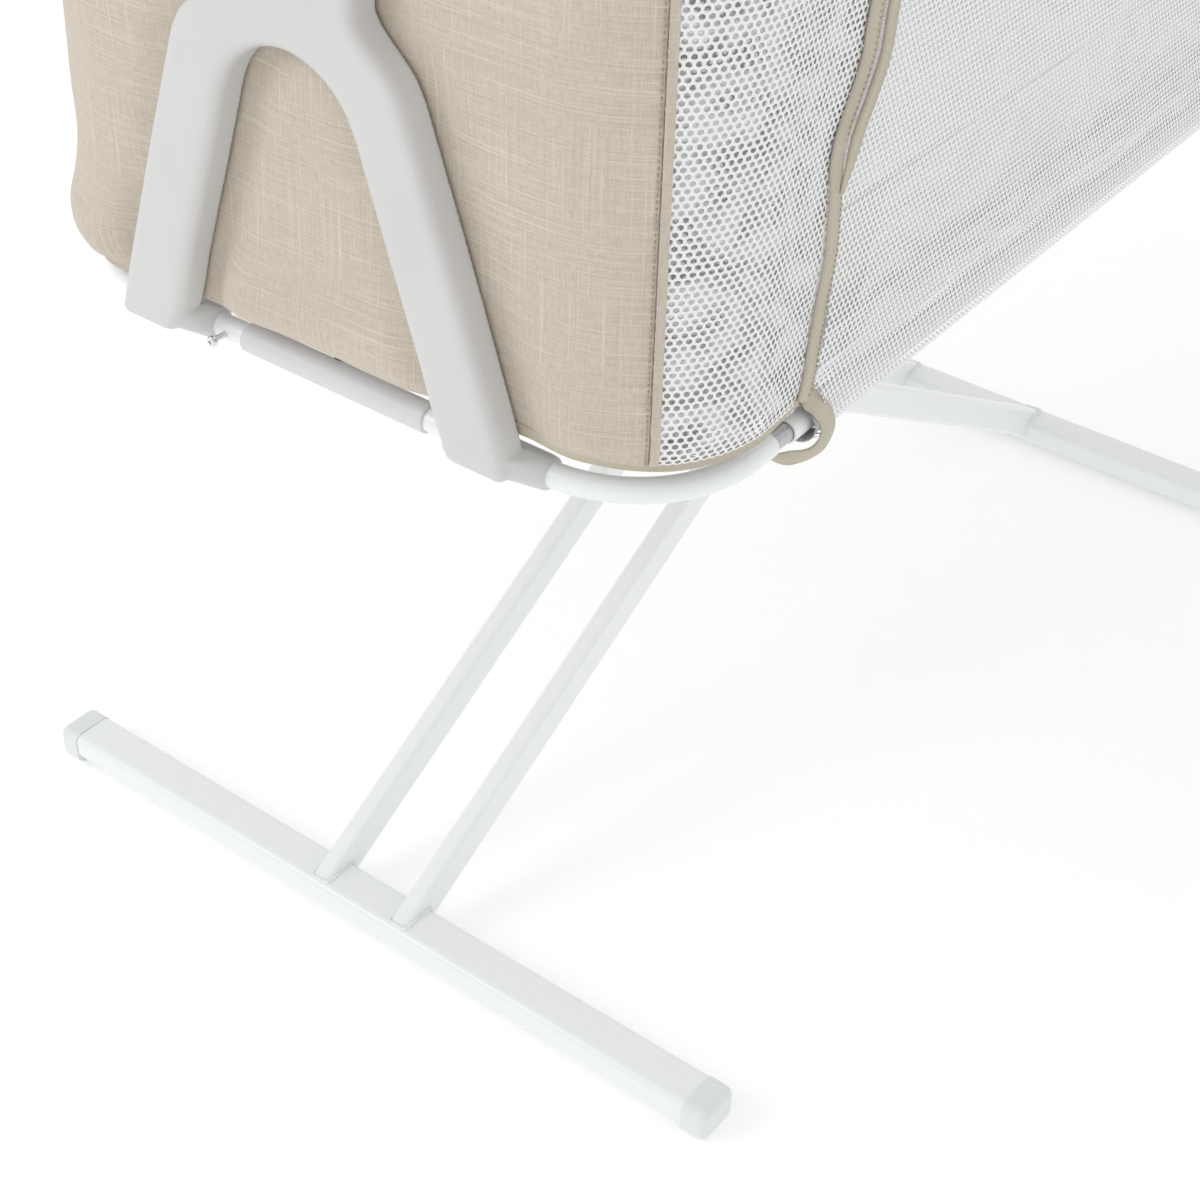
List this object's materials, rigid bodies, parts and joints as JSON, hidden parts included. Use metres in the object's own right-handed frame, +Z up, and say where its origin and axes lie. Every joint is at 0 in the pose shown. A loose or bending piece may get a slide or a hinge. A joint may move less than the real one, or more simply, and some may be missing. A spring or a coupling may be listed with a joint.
{
  "type": "bedside baby cradle",
  "caption": "Bedside baby cradle: fabric basket on a tube ring with A-shaped end brackets, a drop-down mesh side and a folding scissor stand on flat feet.",
  "frame": {"origin": "on the floor, under the middle of the cradle", "axes": "+X along the basket, -Y towards the drop side, +Z up"},
  "size_m": [0.966, 0.6344, 0.857],
  "materials": {
    "painted_tube": "white powder coat, semi-gloss",
    "grey_plastic": "pale warm grey, fine satin",
    "dark_plastic": "dark grey moulded plugs",
    "dark_steel": "dull dark steel",
    "chrome_steel": "bright plated",
    "zinc_steel": "zinc plated",
    "linen": "beige slub weave",
    "white_mesh": "white open knitted mesh",
    "mattress_cloth": "quilted white cloth",
    "board": "white-faced fibreboard",
    "zip_metal": "beige lacquered zip slider"
  },
  "bodies": {
    "basket": {"back_panel": "linen", "base_board": "board", "bracket_cover_far": "grey_plastic", "bracket_cover_near": "grey_plastic", "bracket_screws": "zinc_steel", "bracket_shell_far": "grey_plastic", "bracket_shell_near": "grey_plastic", "corner_mesh_far": "white_mesh", "corner_mesh_near": "white_mesh", "cross_rails": "painted_tube", "end_panel_far": "linen", "end_panel_near": "linen", "end_sleeve_far": "painted_tube", "end_sleeve_near": "painted_tube", "front_wall": "white_mesh", "mattress": "mattress_cloth", "pivot_brackets": "grey_plastic", "rail_cover": "linen", "rail_socket_far": "grey_plastic", "rail_socket_near": "grey_plastic", "ring_corner_far_back": "painted_tube", "ring_corner_far_front": "painted_tube", "ring_corner_near_back": "painted_tube", "ring_corner_near_front": "painted_tube", "ring_screws": "chrome_steel", "side_tube_back": "painted_tube", "side_tube_front": "painted_tube", "side_tunnels": "white_mesh", "slot_brackets": "grey_plastic", "top_rail_back": "painted_tube", "top_rail_far": "painted_tube", "top_rail_near": "painted_tube", "tube_connectors": "zinc_steel"},
    "outer_legs": {"outer_foot_tube": "painted_tube", "outer_foot_caps": "grey_plastic", "outer_strut_front": "painted_tube", "outer_strut_back": "painted_tube", "outer_top_tube": "painted_tube", "outer_top_caps": "dark_plastic", "pivot_bolts": "zinc_steel", "pivot_nuts": "zinc_steel", "pivot_spacers": "grey_plastic"},
    "inner_legs": {"inner_foot_tube": "painted_tube", "inner_foot_caps": "grey_plastic", "inner_strut_front": "painted_tube", "inner_strut_back": "painted_tube", "inner_top_tube": "painted_tube", "inner_top_caps": "dark_plastic"},
    "drop_side": {"drop_panel": "white_mesh", "front_rail": "painted_tube", "front_rail_plugs": "grey_plastic", "rail_cover_front": "linen"},
    "lock_near": {"lock_button_near": "grey_plastic"},
    "lock_far": {"lock_button_far": "grey_plastic"},
    "snap_near": {"snap_button_near": "dark_steel"},
    "snap_far": {"snap_button_far": "dark_steel"},
    "zip_near": {"zip_slider_near": "zip_metal"},
    "zip_far": {"zip_slider_far": "zip_metal"}
  },
  "joints": [
    {"name": "stand_fold", "type": "hinge", "parent": "basket", "child": "outer_legs", "pos_m": [-0.2924, 0, 0.443], "axis": [0, -1, 0], "range_deg": [0, 26.5]},
    {"name": "scissor_pivot", "type": "hinge", "parent": "outer_legs", "child": "inner_legs", "pos_m": [0, 0, 0.27554], "axis": [0, -1, 0], "range_deg": [-53, 0]},
    {"name": "drop_side_hinge", "type": "hinge", "parent": "basket", "child": "drop_side", "pos_m": [0, -0.256, 0.612], "axis": [1, 0, 0], "range_deg": [0, 165]},
    {"name": "lock_near_press", "type": "slide", "parent": "drop_side", "child": "lock_near", "axis": [0, 1, 0], "range_m": [0, 0.0025], "stiffness_N_per_m": 600, "springref_m": -0.003},
    {"name": "lock_far_press", "type": "slide", "parent": "drop_side", "child": "lock_far", "axis": [0, 1, 0], "range_m": [0, 0.0025], "stiffness_N_per_m": 600, "springref_m": -0.003},
    {"name": "snap_near_press", "type": "slide", "parent": "basket", "child": "snap_near", "axis": [-0.7071, 0, -0.7071], "range_m": [0, 0.0025], "stiffness_N_per_m": 800, "springref_m": -0.003},
    {"name": "snap_far_press", "type": "slide", "parent": "basket", "child": "snap_far", "axis": [0.7071, 0, -0.7071], "range_m": [0, 0.0025], "stiffness_N_per_m": 800, "springref_m": -0.003},
    {"name": "zip_near_slide", "type": "slide", "parent": "basket", "child": "zip_near", "axis": [-0.1942, 0, -0.981], "range_m": [0, 0.155]},
    {"name": "zip_far_slide", "type": "slide", "parent": "basket", "child": "zip_far", "axis": [0.1942, 0, -0.981], "range_m": [0, 0.155]}
  ],
  "couplings": [
    {"joint": "scissor_pivot", "follows": "stand_fold", "ratio": -2}
  ]
}
